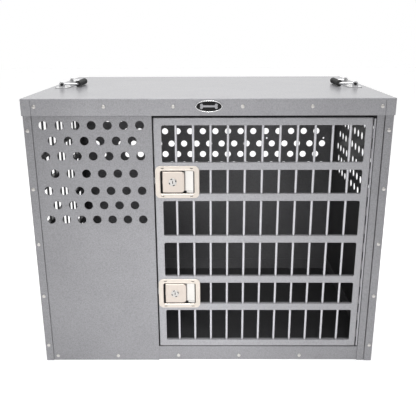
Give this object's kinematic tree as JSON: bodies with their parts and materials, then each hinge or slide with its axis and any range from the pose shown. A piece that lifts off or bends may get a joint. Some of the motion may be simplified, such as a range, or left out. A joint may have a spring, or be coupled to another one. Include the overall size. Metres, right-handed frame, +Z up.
{
  "type": "dog crate",
  "caption": "Riveted sheet-metal dog crate with punched air holes, a barred hinged door on paddle latches, a barred left side, and folding carry handles on the lid.",
  "frame": {"origin": "middle of the whole footprint, on the floor", "axes": "+X to the right of someone facing the door, along the longest side; +Y to the back; +Z up"},
  "size_m": [0.914, 0.65, 0.7458],
  "materials": {
    "hammertone": "grey hammertone powder coat on sheet aluminium",
    "door_coat": "grey powder coat on sheet aluminium",
    "bar_metal": "coated round aluminium bar",
    "latch_metal": "satin stainless steel",
    "zinc": "bright zinc plate",
    "hinge_steel": "dull steel",
    "grip_rubber": "matt black moulded sleeve",
    "badge": "black enamel with a bright rim"
  },
  "bodies": {
    "crate": {"top_cap": "hammertone", "floor_pan": "hammertone", "left_side_panel": "hammertone", "left_side_grille": "bar_metal", "right_side_panel": "hammertone", "rear_panel": "hammertone", "front_left_panel": "hammertone", "hinge_jamb": "hammertone", "door_header": "hammertone", "door_sill": "hammertone", "latch_post": "hammertone", "badge": "badge", "jamb_hinge_leaf": "hinge_steel", "hinge_pin": "zinc", "left_handle_plate": "zinc", "right_handle_plate": "zinc"},
    "door": {"door_skin": "door_coat", "door_rail_1": "door_coat", "door_rail_2": "door_coat", "door_rail_3": "door_coat", "door_rail_4": "door_coat", "door_rail_5": "door_coat", "door_rail_6": "door_coat", "door_bar_1_top": "bar_metal", "door_bar_1_middle": "bar_metal", "door_bar_1_bottom": "bar_metal", "door_bar_2_top": "bar_metal", "door_bar_2_middle": "bar_metal", "door_bar_2_bottom": "bar_metal", "door_bar_3": "bar_metal", "door_bar_4": "bar_metal", "door_bar_5": "bar_metal", "door_bar_6": "bar_metal", "door_bar_7": "bar_metal", "door_bar_8": "bar_metal", "door_bar_9": "bar_metal", "door_bar_10": "bar_metal", "door_bar_11": "bar_metal", "door_hinge_leaf": "hinge_steel", "upper_latch_pan": "latch_metal", "upper_paddle_pin": "hinge_steel", "upper_paddle_spring": "hinge_steel", "upper_bolt_guide": "latch_metal", "lower_latch_pan": "latch_metal", "lower_paddle_pin": "hinge_steel", "lower_paddle_spring": "hinge_steel", "lower_bolt_guide": "latch_metal"},
    "upper_paddle": {"upper_paddle": "latch_metal"},
    "upper_lock": {"upper_lock_cylinder": "zinc", "upper_lock_cam": "hinge_steel"},
    "upper_bolt": {"upper_bolt": "latch_metal"},
    "lower_paddle": {"lower_paddle": "latch_metal"},
    "lower_lock": {"lower_lock_cylinder": "zinc", "lower_lock_cam": "hinge_steel"},
    "lower_bolt": {"lower_bolt": "latch_metal"},
    "left_handle": {"left_bail": "zinc", "left_grip": "grip_rubber"},
    "right_handle": {"right_bail": "zinc", "right_grip": "grip_rubber"}
  },
  "joints": [
    {"name": "door_swing", "type": "hinge", "parent": "crate", "child": "door", "pos_m": [0.4095, -0.3187, 0.3625], "axis": [0, 0, 1], "range_deg": [0, 170]},
    {"name": "upper_paddle_turn", "type": "hinge", "parent": "door", "child": "upper_paddle", "pos_m": [-0.1135, -0.3129, 0.51657], "axis": [0, 0, -1], "range_deg": [0, 45], "stiffness_Nm_per_rad": 0.4, "springref_deg": -28.65},
    {"name": "upper_bolt_slide", "type": "slide", "parent": "door", "child": "upper_bolt", "axis": [1, 0, 0], "range_m": [0, 0.0132]},
    {"name": "upper_lock_turn", "type": "hinge", "parent": "upper_paddle", "child": "upper_lock", "pos_m": [-0.09, -0.3184, 0.51657], "axis": [0, -1, 0], "range_deg": [0, 90]},
    {"name": "lower_paddle_turn", "type": "hinge", "parent": "door", "child": "lower_paddle", "pos_m": [-0.1135, -0.3129, 0.20618], "axis": [0, 0, -1], "range_deg": [0, 45], "stiffness_Nm_per_rad": 0.4, "springref_deg": -28.65},
    {"name": "lower_bolt_slide", "type": "slide", "parent": "door", "child": "lower_bolt", "axis": [1, 0, 0], "range_m": [0, 0.0132]},
    {"name": "lower_lock_turn", "type": "hinge", "parent": "lower_paddle", "child": "lower_lock", "pos_m": [-0.09, -0.3184, 0.20618], "axis": [0, -1, 0], "range_deg": [0, 90]},
    {"name": "left_handle_lift", "type": "hinge", "parent": "crate", "child": "left_handle", "pos_m": [-0.417, 0, 0.7368], "axis": [0, -1, 0], "range_deg": [0, 90]},
    {"name": "right_handle_lift", "type": "hinge", "parent": "crate", "child": "right_handle", "pos_m": [0.417, 0, 0.7368], "axis": [0, 1, 0], "range_deg": [0, 90]}
  ],
  "couplings": [
    {"joint": "upper_bolt_slide", "follows": "upper_paddle_turn", "m_per_rad": 0.0168},
    {"joint": "lower_bolt_slide", "follows": "lower_paddle_turn", "m_per_rad": 0.0168}
  ]
}
